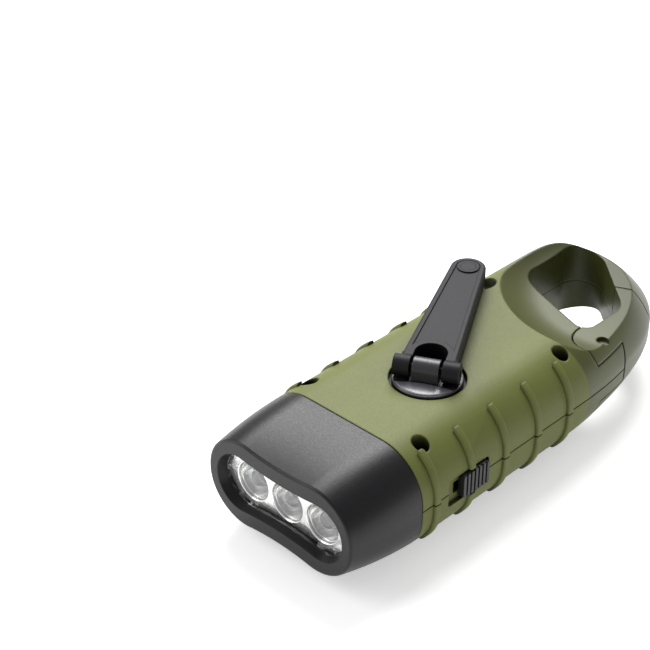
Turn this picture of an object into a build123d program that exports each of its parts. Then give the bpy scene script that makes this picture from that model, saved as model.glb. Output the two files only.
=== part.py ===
from build123d import *
from math import acos, asin, atan2, cos, degrees, hypot, pi, radians, sin, tan
import os

# Hand crank flashlight: lens forward (-Y), carabiner loop at the rear (+Y), crank on top.
# All sizes in millimetres. The underside rests on Z = 0 and the length is centred on Y = 0.

# Case
LENGTH = 140.0
BODY_WIDTH = 50.4
BODY_HEIGHT = 29.6
SIDE_RADIUS = 13.0
WALL = 1.8
PARTING_Z = 15.4
SEAM_GROOVE = 0.3
FIT_GAP = 0.1
PRESS_GAP = 0.01
RUN_GAP = 0.05
FRONT_Y = -LENGTH / 2
HEAD_LENGTH = 22.1
JOINT_Y = FRONT_Y + HEAD_LENGTH
HALF_WIDTH = BODY_WIDTH / 2
TAIL_Y = LENGTH / 2

# Lamp head
FACE_HALF_WIDTH = HALF_WIDTH - 1.8
FACE_BOTTOM = 3.8
FACE_TOP = 27.5
FACE_DIP = 0.9
MID_HALF_WIDTH = HALF_WIDTH - 0.5
MID_BOTTOM = 1.5
MID_TOP = 29.0
WINDOW_HALF_WIDTH = FACE_HALF_WIDTH - 2.8
WINDOW_BOTTOM = 7.7
WINDOW_TOP = 23.4
WINDOW_DIP = 0.9
BEZEL_DEPTH = 2.0
BEZEL_INSET = 1.2
LENS_THICKNESS = 1.0
LENS_LIP = 0.9
TONGUE_LENGTH = 3.0
TONGUE_WALL = 1.5
CUP_PITCH = 11.4
CUP_RADIUS = 5.3
CUP_REAR_RADIUS = 2.7
CUP_DEPTH = 7.0
CUP_WALL = 0.7
CUP_Z = 15.4
PLATE_THICKNESS = 1.2
LED_RADIUS = 2.45
LED_FLANGE = 2.9
LED_FLANGE_HEIGHT = 1.0
LED_LENGTH = 8.0
BOARD_THICKNESS = 1.2
BOARD_HALF_WIDTH = 17.0
BOARD_HEIGHT = 13.0
BOARD_BOSS_RADIUS = 1.7
BOARD_BOSS_Z = 5.0
SMALL_SCREW_RADIUS = 0.8

# Scoops round the loop
SCOOP_X = HALF_WIDTH - 12.2
SCOOP_Y = TAIL_Y - 22.7
SCOOP_RADIUS = 33.7
SCOOP_FLAT = 22.0
LOOP_TOP = 25.0
UNDER_RADIUS = 36.0
UNDER_FLAT = 20.0
LOOP_BOTTOM = 8.6
LOOP_MIDDLE_Y = TAIL_Y - 30.0
CORING_BOTTOM = 10.8
CORING_TOP = 20.4
SIDE_CORE_X = 5.3 - HALF_WIDTH
CORINGS = [((SIDE_CORE_X, TAIL_Y - 28.0), (SIDE_CORE_X, TAIL_Y - 15.0), 2.1),
           ((-2.0, TAIL_Y - 5.4), (5.6, TAIL_Y - 12.4), 1.5)]

# Gate
PIN_X = HALF_WIDTH - 5.6
PIN_Y = TAIL_Y - 41.8
PIN_RADIUS = 1.25
EAR_RADIUS = 7.6
EAR_TOP_Z = 21.8
EAR_BOTTOM_Z = 11.6
TONGUE_RADIUS = 6.6
GATE_GAP = 0.35
GATE_END_RADIUS = 27.6
SWING_STEP = 1.1

# Ribs
RIB_FIRST_Y = JOINT_Y + 5.1
RIB_PITCH = 12.65
RIB_COUNT = 5
RIB_WIDTH = 2.2
RIB_PROUD = 0.8
RIB_START_X = HALF_WIDTH - 5.6
RIB_END_Z = 3.2

# Case screws
SCREW_X = HALF_WIDTH - 7.2
SCREW_FRONT_Y = JOINT_Y + 6.9
SCREW_REAR_Y = TAIL_Y - 58.1
LOOP_SCREW_X = -11.9
LOOP_SCREW_Y = TAIL_Y - 4.8
WELL_RADIUS = 2.2
WELL_FLOOR = 18.0
SCREW_HEAD_RADIUS = 1.9
SCREW_HEAD_HEIGHT = 1.4
SCREW_SHANK_RADIUS = 1.0
SCREW_TIP_Z = 8.0
LOOP_SCREW_TIP_Z = 11.0
TUBE_RADIUS = 3.7
BOSS_RADIUS = 3.2

# Crank
HUB_X = 2.73
HUB_Y = JOINT_Y + 26.8
CRANK_ANGLE = 28.0
RECESS_RADIUS = 9.7
RECESS_FLOOR = 28.0
DISC_RADIUS = 8.9
DISC_TOP = 29.9
SHAFT_RADIUS = 3.0
BOSS_BOTTOM = 22.0
HINGE_SETBACK = 1.2
HINGE_Z = 32.9
BARREL_RADIUS = 2.7
BARREL_LENGTH = 16.5
KNUCKLE_WIDTH = 7.2
KNUCKLE_GAP = 0.3
HINGE_PIN_RADIUS = 0.9
ARM_REACH = 51.9
ARM_TIP_RADIUS = 4.7
ARM_BASE_HALF = 6.9
ARM_TOP = 35.0
ARM_BOTTOM = 30.4
ARM_SKIN = 1.8
ARM_RIM = 1.3
NOTCH_HALF = 4.1
NOTCH_REACH = 8.4
KNOB_RADIUS = 3.2
KNOB_BOTTOM = 30.0
KNOB_TOP = 33.1
RIVET_RADIUS = 1.2
RIVET_HEAD_RADIUS = 2.1
POCKET_SHIFT_X = 1.4657
POCKET_SHIFT_Y = 3.5844
POCKET_RADIUS = 4.4
POCKET_FLOOR = 25.4

# Gear train
MODULE = 0.7
PRESSURE_ANGLE = 25.0
ADDENDUM = 0.85
DEDENDUM = 1.15
TOOTH_SHARE = 0.8
PINION_TEETH = 10
DRIVE_TEETH = 36
FIRST_TEETH = 30
SECOND_TEETH = 26
FIRST_ANGLE = 60.0
SECOND_ANGLE = 165.0
ROTOR_ANGLE = -100.0
DRIVE_Z = 19.4
DRIVE_FACE = 2.5
FIRST_Z = 15.8
SECOND_Z = 12.6
GEAR_FACE = 2.4
AXLE_RADIUS = 1.0
PLATE_Z = 9.6
PLATE_TOP = 11.4
POST_RADIUS = 2.4
SHAFT_FLAT = 2.0

# Generator
STATOR_RADIUS = 10.0
STATOR_Z = 2.6
STATOR_SKIN = 0.8
CLAW_INNER = 6.5
CLAW_OUTER = 7.1
MAGNET_RADIUS = 6.0
ROTOR_SHAFT_RADIUS = 0.75

# Switch
SWITCH_Y = JOINT_Y + 18.8
SWITCH_TRAVEL = 4.0
CAP_LENGTH = 9.4
CAP_BOTTOM = 12.0
CAP_TOP = 18.4
CAP_OUT = HALF_WIDTH + 0.8
RECESS_DEPTH = 1.2
STEM_LENGTH = 4.0
STEM_HEIGHT = 2.6
STEM_Z = 15.2
SWITCH_INNER_X = HALF_WIDTH - 7.6
SWITCH_OUTER_X = HALF_WIDTH - 2.7
STEM_START_X = HALF_WIDTH - 5.3

# Cells
CELL_RADIUS = 7.7
CELL_WIDTH = 5.8
CELL_COUNT = 3
CELL_Y = JOINT_Y + 11.0
CELL_Z = 9.8

# Control board
CONTROL_Z = 12.0
CONTROL_FRONT = TAIL_Y - 61.4
CONTROL_REAR = CONTROL_FRONT + 13.0
CONTROL_LEFT = -13.4
CONTROL_RIGHT = 8.6

drive_radius = MODULE * DRIVE_TEETH / 2
pinion_radius = MODULE * PINION_TEETH / 2
first_radius = MODULE * FIRST_TEETH / 2
second_radius = MODULE * SECOND_TEETH / 2


def step_from(point, distance, angle):
    return (point[0] + distance * cos(radians(angle)), point[1] + distance * sin(radians(angle)))


HUB = (HUB_X, HUB_Y)
AXLE_1 = step_from(HUB, drive_radius + pinion_radius, FIRST_ANGLE)
AXLE_2 = step_from(AXLE_1, first_radius + pinion_radius, SECOND_ANGLE)
ROTOR = step_from(AXLE_2, second_radius + pinion_radius, ROTOR_ANGLE)
POSTS = [(HUB_X - 16.23, HUB_Y + 24.5), (HUB_X - 17.23, HUB_Y - 4.9), (HUB_X + 16.27, HUB_Y + 2.3)]
HINGE_AT = step_from(HUB, -HINGE_SETBACK, 90 + CRANK_ANGLE)
KNOB_REACH = ARM_REACH - ARM_TIP_RADIUS
KNOB_AT = step_from(HINGE_AT, KNOB_REACH, 90 + CRANK_ANGLE)
POCKET_AT = (KNOB_AT[0] + POCKET_SHIFT_X, KNOB_AT[1] + POCKET_SHIFT_Y)
CASE_SCREWS = [(SCREW_X, SCREW_FRONT_Y), (-SCREW_X, SCREW_FRONT_Y),
               (SCREW_X, SCREW_REAR_Y), (-SCREW_X, SCREW_REAR_Y)]
LOOP_SCREW = (LOOP_SCREW_X, LOOP_SCREW_Y)
INTERIOR_REAR = TAIL_Y - 46.0


def cyl(center, radius, z0, z1):
    return Pos(center[0], center[1], (z0 + z1) / 2) * Cylinder(radius, z1 - z0)


def ring(center, outer, inner, z0, z1):
    return cyl(center, outer, z0, z1) - cyl(center, inner, z0 - 1, z1 + 1)


def block(x0, x1, y0, y1, z0, z1):
    return Pos((x0 + x1) / 2, (y0 + y1) / 2, (z0 + z1) / 2) * Box(x1 - x0, y1 - y0, z1 - z0)


def along_y(x, z, radius, y0, y1):
    return Pos(x, (y0 + y1) / 2, z) * Rot(90, 0, 0) * Cylinder(radius, y1 - y0)


def at_hinge(shape):
    return Pos(HINGE_AT[0], HINGE_AT[1], 0) * Rot(0, 0, CRANK_ANGLE) * shape


def waist_wire(y, half_width, bottom, top, side_flat, dip):
    """Rounded outline in the XZ plane with a shallow waist in its top and bottom."""
    middle = (bottom + top) / 2
    radius = (top - bottom - side_flat) / 2
    reach = half_width - radius
    flat = side_flat / 2
    big = (reach ** 2 + dip ** 2) / (2 * dip) - radius
    hub = big + radius - dip
    lean = radius / (big + radius)
    tangent_x = reach - reach * lean
    tangent_z = hub * lean + flat
    slant = radius * sin(radians(45))
    right = [
        Line((half_width, y, middle - flat), (half_width, y, middle + flat)),
        ThreePointArc((half_width, y, middle + flat), (reach + slant, y, middle + flat + slant),
                      (tangent_x, y, middle + tangent_z)),
        ThreePointArc((tangent_x, y, middle + tangent_z), (0, y, middle + flat + radius - dip),
                      (-tangent_x, y, middle + tangent_z)),
        ThreePointArc((-tangent_x, y, middle + tangent_z), (-reach - slant, y, middle + flat + slant),
                      (-half_width, y, middle + flat)),
        Line((-half_width, y, middle + flat), (-half_width, y, middle - flat)),
        ThreePointArc((-half_width, y, middle - flat), (-reach - slant, y, middle - flat - slant),
                      (-tangent_x, y, middle - tangent_z)),
        ThreePointArc((-tangent_x, y, middle - tangent_z), (0, y, middle - flat - radius + dip),
                      (tangent_x, y, middle - tangent_z)),
        ThreePointArc((tangent_x, y, middle - tangent_z), (reach + slant, y, middle - flat - slant),
                      (half_width, y, middle - flat)),
    ]
    return Wire(right)


def body_wire(y, inset):
    """Cross-section of the case, moved inward by the inset."""
    flat = BODY_HEIGHT - 2 * SIDE_RADIUS
    return waist_wire(y, HALF_WIDTH - inset, inset, BODY_HEIGHT - inset, flat, 0.02)


def section_bar(y0, y1, inset):
    return Solid.extrude(Face(body_wire(y0, inset)), Vector(0, y1 - y0, 0))


def plan_face(inset=0.0):
    """Plan outline of the case: straight sides and a loop that leans to the rear left."""
    side = HALF_WIDTH - inset
    left_end = (-side, TAIL_Y - 24.0)
    right_end = (side, TAIL_Y - 58.0)
    line = Polyline(left_end, (-side, JOINT_Y), (side, JOINT_Y), right_end)
    round_points = [(HALF_WIDTH - 1.8, TAIL_Y - 35.5), (HALF_WIDTH - 6.3, TAIL_Y - 19.8), (7.2, TAIL_Y - 4.5),
                    (-7.0, TAIL_Y), (5.6 - HALF_WIDTH, TAIL_Y - 3.7)]
    moved = []
    for x, y in round_points:
        shrink = 1 - inset / hypot(x, y - LOOP_MIDDLE_Y)
        moved.append((x * shrink, LOOP_MIDDLE_Y + (y - LOOP_MIDDLE_Y) * shrink))
    tail = Spline(right_end, *moved, left_end, tangents=((0, 1), (0, -1)))
    return Face(Wire([*line.edges(), *tail.edges()]))


def hole_face():
    """Plan outline of the hand hole through the loop."""
    right = HALF_WIDTH - 11.3
    left = 10.5 - HALF_WIDTH
    corners = [(right, TAIL_Y - 42.1), (left, TAIL_Y - 31.6), (left, TAIL_Y - 7.6), (-5.2, TAIL_Y - 7.6),
               (right, TAIL_Y - 25.0)]
    radii = [3.2, 6.5, 6.0, 7.0, 9.0]
    face = make_face(Polyline(*corners, close=True))
    for corner, radius in zip(corners, radii):
        vertex = face.vertices().sort_by_distance((corner[0], corner[1], 0))[0]
        face = fillet(vertex, radius)
    return face


def prism(face, z0, z1):
    return Pos(0, 0, z0) * extrude(face, z1 - z0)


def scoop(edge_radius, flat_radius, edge_z, floor_z, grow):
    """Bowl that lowers the case round the loop: flat floor and a hollow curved wall."""
    depth = edge_z - floor_z
    run = edge_radius - flat_radius
    sign = 1 if depth > 0 else -1
    bend = (run ** 2 + depth ** 2) / (2 * abs(depth))
    swing = asin(run / bend) / 2
    small = bend - grow
    outer = flat_radius + small * sin(2 * swing)
    floor = floor_z - sign * grow
    edge = floor + sign * (small - small * cos(2 * swing))
    far = edge + sign * 20
    middle = (flat_radius + small * sin(swing), 0, floor + sign * (small - small * cos(swing)))
    profile = Wire([
        Line((0, 0, floor), (flat_radius, 0, floor)),
        ThreePointArc((flat_radius, 0, floor), middle, (outer, 0, edge)),
        Line((outer, 0, edge), (outer + 20 / tan(2 * swing), 0, far)),
        Line((outer + 20 / tan(2 * swing), 0, far), (0, 0, far)),
        Line((0, 0, far), (0, 0, floor)),
    ])
    return Pos(SCOOP_X, SCOOP_Y, 0) * revolve(Face(profile), Axis.Z)


def upper_scoop(grow=0.0):
    return scoop(SCOOP_RADIUS, SCOOP_FLAT, BODY_HEIGHT, LOOP_TOP, grow)


def lower_scoop(grow=0.0):
    return scoop(UNDER_RADIUS, UNDER_FLAT, 0.0, LOOP_BOTTOM, grow)


def round_block():
    """Case block with fully rounded long edges."""
    blank = extrude(plan_face(), BODY_HEIGHT)
    level = blank.edges().filter_by(GeomType.LINE).filter_by(Axis.X)
    rims = blank.edges().filter_by(lambda e: e.length > 2 * SIDE_RADIUS) - level
    rims = rims.filter_by(lambda e: e.center().Z < 1 or e.center().Z > BODY_HEIGHT - 1)
    return fillet(rims, SIDE_RADIUS)


def loop_block():
    """Complete outer body, loop and gate in one, before it is divided."""
    body = round_block() - upper_scoop() - lower_scoop()
    return body - prism(hole_face(), -1, BODY_HEIGHT + 1)


def gate_zone(gap):
    """Region of the gate between its front ears and its free end, shrunk by the gap."""
    pin = (PIN_X, PIN_Y)
    arm = cyl(pin, GATE_END_RADIUS - gap, -1, BODY_HEIGHT + 1)
    arm &= block(PIN_X - 21.1, 40, PIN_Y, TAIL_Y + 10, -1, BODY_HEIGHT + 1)
    arm -= block(PIN_X - 30, PIN_X - EAR_RADIUS - GATE_GAP + gap, PIN_Y - 8.2, PIN_Y + 7.8, -2, BODY_HEIGHT + 2)
    tongue = cyl(pin, TONGUE_RADIUS + gap, EAR_BOTTOM_Z - gap, EAR_TOP_Z + gap)
    tongue += block(0, 40, 0, PIN_Y + 2 + gap, EAR_BOTTOM_Z - gap, EAR_TOP_Z + gap)
    upper = cyl(pin, EAR_RADIUS + GATE_GAP - gap, EAR_TOP_Z + gap, BODY_HEIGHT + 1)
    lower = cyl(pin, EAR_RADIUS + GATE_GAP - gap, -1, EAR_BOTTOM_Z - gap)
    return (arm - tongue) + upper + lower


def interior():
    """Hollow of the case in front of the loop."""
    room = section_bar(JOINT_Y - 1, INTERIOR_REAR, WALL)
    room -= upper_scoop(WALL)
    room -= lower_scoop(WALL)
    room -= cyl((PIN_X, PIN_Y), EAR_RADIUS + GATE_GAP + WALL, -1, BODY_HEIGHT + 1)
    room -= cyl(POCKET_AT, POCKET_RADIUS + 1.4, POCKET_FLOOR - 1.4, BODY_HEIGHT + 1)
    return room


def coring(start, end, half_width):
    """Round-ended coring slot from one point to another, open at the parting plane."""
    run = hypot(end[0] - start[0], end[1] - start[1])
    turn = degrees(atan2(end[1] - start[1], end[0] - start[0]))
    middle = Pos((start[0] + end[0]) / 2, (start[1] + end[1]) / 2)
    face = middle * SlotCenterToCenter(run, 2 * half_width, rotation=turn)
    return prism(face, CORING_BOTTOM, CORING_TOP)


def rib_set():
    """Grip ribs on both sides, running round the flank."""
    outer = Face(body_wire(0, -RIB_PROUD))
    inner = Face(body_wire(0, 0.6))
    band = Solid.extrude(outer, Vector(0, RIB_WIDTH, 0)) - Solid.extrude(inner, Vector(0, RIB_WIDTH, 0))
    band &= block(RIB_START_X, 40, -1, RIB_WIDTH + 1, RIB_END_Z, BODY_HEIGHT + 2)
    crest = band.edges().filter_by(lambda e: e.center().X > RIB_START_X + 0.3 and e.length > 5)
    crest = crest.filter_by(lambda e: on_section(e.center(), RIB_PROUD - 0.1))
    band = fillet(crest, 0.55)
    ribs = []
    for index in range(RIB_COUNT):
        y = RIB_FIRST_Y + index * RIB_PITCH - RIB_WIDTH / 2
        ribs.append(Pos(0, y, 0) * band)
        ribs.append(Pos(0, y, 0) * mirror(band, Plane.YZ))
    return ribs


def on_section(point, proud):
    """True where a point stands at least this far off the case section."""
    x = abs(point.X) - (HALF_WIDTH - SIDE_RADIUS)
    z = abs(point.Z - BODY_HEIGHT / 2) - (BODY_HEIGHT / 2 - SIDE_RADIUS)
    return hypot(max(x, 0), max(z, 0)) > SIDE_RADIUS + proud


def seam_rings():
    """Fine grooves along the parting line and at the joint with the head."""
    cut = block(-40, 40, -80, 80, PARTING_Z - SEAM_GROOVE / 2, PARTING_Z + SEAM_GROOVE / 2)
    cut -= prism(plan_face(SEAM_GROOVE), 0, BODY_HEIGHT)
    front = section_bar(JOINT_Y - 1, JOINT_Y + SEAM_GROOVE, -2)
    front -= section_bar(JOINT_Y - 2, JOINT_Y + 2, SEAM_GROOVE)
    return [cut, front]


def switch_cut():
    """Recess for the button in the right flank and the slot for its stem."""
    recess = block(HALF_WIDTH - RECESS_DEPTH, 40, SWITCH_Y - SWITCH_TRAVEL - CAP_LENGTH / 2 - 0.6,
                   SWITCH_Y + CAP_LENGTH / 2 + 0.6, CAP_BOTTOM - 0.5, CAP_TOP + 0.5)
    recess = fillet(recess.edges().filter_by(Axis.X), 0.8)
    slot = block(SWITCH_OUTER_X - 2.5, 40,
                 SWITCH_Y - SWITCH_TRAVEL - STEM_LENGTH / 2 - 0.4, SWITCH_Y + STEM_LENGTH / 2 + 0.4,
                 STEM_Z - STEM_HEIGHT / 2 - 0.3, STEM_Z + STEM_HEIGHT / 2 + 0.3)
    return recess + slot


def switch_pad():
    return block(SWITCH_OUTER_X, HALF_WIDTH - 0.4, SWITCH_Y - SWITCH_TRAVEL - CAP_LENGTH / 2 - 1.6,
                 SWITCH_Y + CAP_LENGTH / 2 + 1.6, CAP_BOTTOM - 1.5, CAP_TOP + 1.5)


def case_half(outer, upper):
    """Shared shape of one shell: skin, hollow, switch pad, seams and gate recess."""
    z0, z1 = (PARTING_Z, BODY_HEIGHT + 1) if upper else (-1, PARTING_Z)
    slab = block(-40, 40, JOINT_Y - 5, 80, z0, z1)
    shell = (outer & slab) - interior()
    for start, end, half_width in CORINGS:
        shell -= coring(start, end, half_width)
    shell += switch_pad() & outer & slab
    shell -= switch_cut()
    for groove in seam_rings():
        shell -= groove
    return shell, slab


def swing_room():
    """Room beside the tongue for the inner wall of the gate at full swing."""
    pin = (PIN_X, PIN_Y)
    room = ring(pin, EAR_RADIUS + GATE_GAP, TONGUE_RADIUS, EAR_BOTTOM_Z, EAR_TOP_Z)
    return room & block(PIN_X - EAR_RADIUS - GATE_GAP, PIN_X, PIN_Y + SWING_STEP, PIN_Y + EAR_RADIUS,
                        EAR_BOTTOM_Z - 1, EAR_TOP_Z + 1)


def outer_body():
    body = loop_block() - gate_zone(0.0) - swing_room()
    clear = switch_cut()
    for rib in rib_set():
        body += rib - clear if rib.center().X > 0 and abs(rib.center().Y - SWITCH_Y) < 6 else rib
    return body


def make_upper_shell(outer):
    shell, slab = case_half(outer, True)
    solid = outer & slab
    extra = cyl(HUB, RECESS_RADIUS + 1.6, RECESS_FLOOR - 1.8, BODY_HEIGHT)
    extra += cyl(HUB, SHAFT_RADIUS + 2.2, BOSS_BOTTOM, BODY_HEIGHT)
    extra += cyl(AXLE_1, POST_RADIUS, DRIVE_Z + DRIVE_FACE + 0.7, BODY_HEIGHT)
    extra += cyl(AXLE_2, POST_RADIUS, FIRST_Z + GEAR_FACE + 0.7, BODY_HEIGHT)
    for post in POSTS:
        extra += cyl(post, POST_RADIUS, PLATE_TOP, BODY_HEIGHT)
    inside = section_bar(JOINT_Y, INTERIOR_REAR, 0.5)
    for place in CASE_SCREWS:
        extra += cyl(place, TUBE_RADIUS, PARTING_Z, BODY_HEIGHT)
    gear_bay = block(HUB_X - 18.73, HUB_X + 19.27, HUB_Y - 8.9, HUB_Y + 29.1, PLATE_TOP, PARTING_Z)
    shell += extra & inside & outer & (slab + gear_bay)
    shell -= cyl(HUB, RECESS_RADIUS, RECESS_FLOOR, BODY_HEIGHT + 1)
    shell -= cyl(HUB, SHAFT_RADIUS + RUN_GAP, 0, BODY_HEIGHT)
    shell -= cyl(AXLE_1, AXLE_RADIUS + PRESS_GAP, 0, 25.0)
    shell -= cyl(AXLE_2, AXLE_RADIUS + PRESS_GAP, 0, 25.0)
    for post in POSTS:
        shell -= cyl(post, SMALL_SCREW_RADIUS + PRESS_GAP, 0, 17.0)
    for place in [*CASE_SCREWS, LOOP_SCREW]:
        shell -= cyl(place, WELL_RADIUS, WELL_FLOOR, BODY_HEIGHT + 1)
        shell -= cyl(place, SCREW_SHANK_RADIUS + FIT_GAP, 0, BODY_HEIGHT)
    shell -= cyl(POCKET_AT, POCKET_RADIUS, POCKET_FLOOR, BODY_HEIGHT + 1)
    shell -= cyl((PIN_X, PIN_Y), PIN_RADIUS + PRESS_GAP, 0, BODY_HEIGHT)
    return shell


def make_lower_shell(outer):
    shell, slab = case_half(outer, False)
    inside = section_bar(JOINT_Y + TONGUE_LENGTH + 0.3, INTERIOR_REAR, 0.5) & slab
    extra = ring(ROTOR, 8.0, 6.4, 0, STATOR_Z)
    for place in CASE_SCREWS:
        extra += cyl(place, BOSS_RADIUS, 0, PARTING_Z)
    for x in (-6.6, 6.6):
        cradle = block(x - 0.8, x + 0.8, CELL_Y - 7.0, CELL_Y + 7.0, 0, CELL_Z - 2.0)
        extra += cradle
    extra -= Pos(0, CELL_Y, CELL_Z) * Rot(0, 90, 0) * Cylinder(CELL_RADIUS + FIT_GAP, CELL_COUNT * CELL_WIDTH + 1)
    extra += block(SWITCH_INNER_X + 0.4, SWITCH_OUTER_X + 1, SWITCH_Y - 6.0, SWITCH_Y + 2.0, 0, CAP_BOTTOM + 0.2)
    for x in (CONTROL_LEFT + 2.0, CONTROL_RIGHT - 2.0):
        extra += cyl((x, CONTROL_FRONT + 2.0), 1.6, 0, CONTROL_Z)
        extra += cyl((x, CONTROL_REAR - 2.0), 1.6, 0, CONTROL_Z)
    shell += extra & inside & outer
    for place in CASE_SCREWS:
        shell -= cyl(place, SCREW_SHANK_RADIUS + PRESS_GAP, SCREW_TIP_Z - 1, 20)
    shell -= cyl(LOOP_SCREW, SCREW_SHANK_RADIUS + PRESS_GAP, LOOP_SCREW_TIP_Z - 0.5, 20)
    shell -= cyl((PIN_X, PIN_Y), PIN_RADIUS + PRESS_GAP, 0, BODY_HEIGHT)
    return shell


def make_gate():
    gate = loop_block() & gate_zone(GATE_GAP)
    gate -= cyl((PIN_X, PIN_Y), PIN_RADIUS + RUN_GAP, LOOP_BOTTOM + 1.4, LOOP_TOP - 1.4)
    gate -= cyl((PIN_X, PIN_Y), 1.6, LOOP_TOP - 1.0, BODY_HEIGHT)
    return gate


def make_head():
    """Lamp head: body section at the joint, waisted and smaller at the face."""
    flat = BODY_HEIGHT - 2 * SIDE_RADIUS
    middle_y = (FRONT_Y + JOINT_Y) / 2 - 1.5
    outer = Solid.make_loft([
        waist_wire(JOINT_Y, HALF_WIDTH, 0, BODY_HEIGHT, flat, 0.02),
        waist_wire(middle_y, MID_HALF_WIDTH, MID_BOTTOM, MID_TOP, 1.6, 0.4),
        waist_wire(FRONT_Y, FACE_HALF_WIDTH, FACE_BOTTOM, FACE_TOP, 0.6, FACE_DIP),
    ])
    outer = fillet(outer.faces().sort_by(Axis.Y)[0].edges(), 0.7)
    inner_front = FRONT_Y + BEZEL_DEPTH + LENS_THICKNESS + PLATE_THICKNESS
    inner = Solid.make_loft([
        waist_wire(JOINT_Y + 0.01, HALF_WIDTH - 3.5, 3.5, BODY_HEIGHT - 3.5, flat, 0.02),
        waist_wire(inner_front, WINDOW_HALF_WIDTH - 0.6, WINDOW_BOTTOM - 0.7, WINDOW_TOP + 0.7, 0.6, WINDOW_DIP),
    ])
    bezel = Solid.make_loft([
        waist_wire(FRONT_Y - 0.01, WINDOW_HALF_WIDTH, WINDOW_BOTTOM, WINDOW_TOP, 0.4, WINDOW_DIP),
        waist_wire(FRONT_Y + BEZEL_DEPTH, WINDOW_HALF_WIDTH - BEZEL_INSET, WINDOW_BOTTOM + 0.8,
                   WINDOW_TOP - 0.8, 0.4, WINDOW_DIP),
    ])
    seat = window_bar(FRONT_Y + BEZEL_DEPTH, inner_front, LENS_LIP)
    tongue = section_bar(JOINT_Y, JOINT_Y + TONGUE_LENGTH, WALL + FIT_GAP)
    tongue -= section_bar(JOINT_Y - 1, JOINT_Y + TONGUE_LENGTH + 1, WALL + FIT_GAP + TONGUE_WALL)
    return (outer - inner - bezel - seat) + tongue


def window_bar(y0, y1, grow):
    """Bar with the outline of the bezel opening, widened by the lip that the window rests on."""
    wire = waist_wire(y0, WINDOW_HALF_WIDTH - BEZEL_INSET + grow, WINDOW_BOTTOM + 0.8 - grow,
                      WINDOW_TOP - 0.8 + grow, 0.4, WINDOW_DIP)
    return Solid.extrude(Face(wire), Vector(0, y1 - y0, 0))


def make_lens():
    y0 = FRONT_Y + BEZEL_DEPTH
    return window_bar(y0, y0 + LENS_THICKNESS, LENS_LIP - FIT_GAP)


def cup_solid(front_y, radius, rear_radius, depth):
    """Bowl of revolution about a Y axis, wide at the front and curved inward to the rear."""
    bulge = (radius * 0.62 + rear_radius * 0.38 + 0.55)
    profile = Wire([
        Line((0, front_y, 0), (radius, front_y, 0)),
        ThreePointArc((radius, front_y, 0), (bulge, front_y + depth * 0.5, 0), (rear_radius, front_y + depth, 0)),
        Line((rear_radius, front_y + depth, 0), (0, front_y + depth, 0)),
        Line((0, front_y + depth, 0), (0, front_y, 0)),
    ])
    return revolve(Face(profile), Axis.Y)


def make_reflector():
    front = FRONT_Y + BEZEL_DEPTH + LENS_THICKNESS
    plate = window_bar(front, front + PLATE_THICKNESS, LENS_LIP - FIT_GAP)
    board_y = front + CUP_DEPTH + 1.5
    for index in (-1, 0, 1):
        move = Pos(index * CUP_PITCH, 0, CUP_Z)
        plate += move * cup_solid(front, CUP_RADIUS + CUP_WALL - 0.32, CUP_REAR_RADIUS + CUP_WALL, CUP_DEPTH)
    for x in (-CUP_PITCH / 2, CUP_PITCH / 2):
        plate += along_y(x, CUP_Z + BOARD_BOSS_Z, BOARD_BOSS_RADIUS, front + 0.5, board_y)
    for index in (-1, 0, 1):
        move = Pos(index * CUP_PITCH, 0, CUP_Z)
        plate -= move * cup_solid(front, CUP_RADIUS, CUP_REAR_RADIUS, CUP_DEPTH)
    for x in (-CUP_PITCH / 2, CUP_PITCH / 2):
        plate -= along_y(x, CUP_Z + BOARD_BOSS_Z, SMALL_SCREW_RADIUS + PRESS_GAP, board_y - 5, board_y + 1)
    return plate


def board_front():
    return FRONT_Y + BEZEL_DEPTH + LENS_THICKNESS + CUP_DEPTH + 1.5


def make_leds():
    """Three round LEDs with flange and dome."""
    leds = []
    base = board_front()
    straight = LED_LENGTH - LED_RADIUS
    for index in (-1, 0, 1):
        profile = Wire([
            Line((0, base, 0), (LED_FLANGE, base, 0)),
            Line((LED_FLANGE, base, 0), (LED_FLANGE, base - LED_FLANGE_HEIGHT, 0)),
            Line((LED_FLANGE, base - LED_FLANGE_HEIGHT, 0), (LED_RADIUS, base - LED_FLANGE_HEIGHT, 0)),
            Line((LED_RADIUS, base - LED_FLANGE_HEIGHT, 0), (LED_RADIUS, base - straight, 0)),
            ThreePointArc((LED_RADIUS, base - straight, 0),
                          (LED_RADIUS * sin(radians(45)), base - straight - LED_RADIUS * sin(radians(45)), 0),
                          (0, base - straight - LED_RADIUS, 0)),
            Line((0, base - straight - LED_RADIUS, 0), (0, base, 0)),
        ])
        leds.append(Pos(index * CUP_PITCH, 0, CUP_Z) * revolve(Face(profile), Axis.Y))
    return leds


def make_led_board():
    y0 = board_front()
    board = block(-BOARD_HALF_WIDTH, BOARD_HALF_WIDTH, y0, y0 + BOARD_THICKNESS, CUP_Z - BOARD_HEIGHT / 2,
                  CUP_Z + BOARD_HEIGHT / 2)
    board = fillet(board.edges().filter_by(Axis.Y), 3.0)
    for x in (-CUP_PITCH / 2, CUP_PITCH / 2):
        board -= along_y(x, CUP_Z + BOARD_BOSS_Z, SMALL_SCREW_RADIUS + FIT_GAP, y0 - 1, y0 + 5)
    return board


def make_board_screws():
    y0 = board_front() + BOARD_THICKNESS
    screws = []
    for x in (-CUP_PITCH / 2, CUP_PITCH / 2):
        screw = along_y(x, CUP_Z + BOARD_BOSS_Z, SMALL_SCREW_RADIUS, y0 - BOARD_THICKNESS - 4, y0 + 0.1)
        screw += along_y(x, CUP_Z + BOARD_BOSS_Z, 1.5, y0, y0 + 1.0)
        screw -= Pos(x, y0 + 1.0, CUP_Z + BOARD_BOSS_Z) * Box(2.0, 0.8, 0.35)
        screws.append(screw)
    return screws


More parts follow.
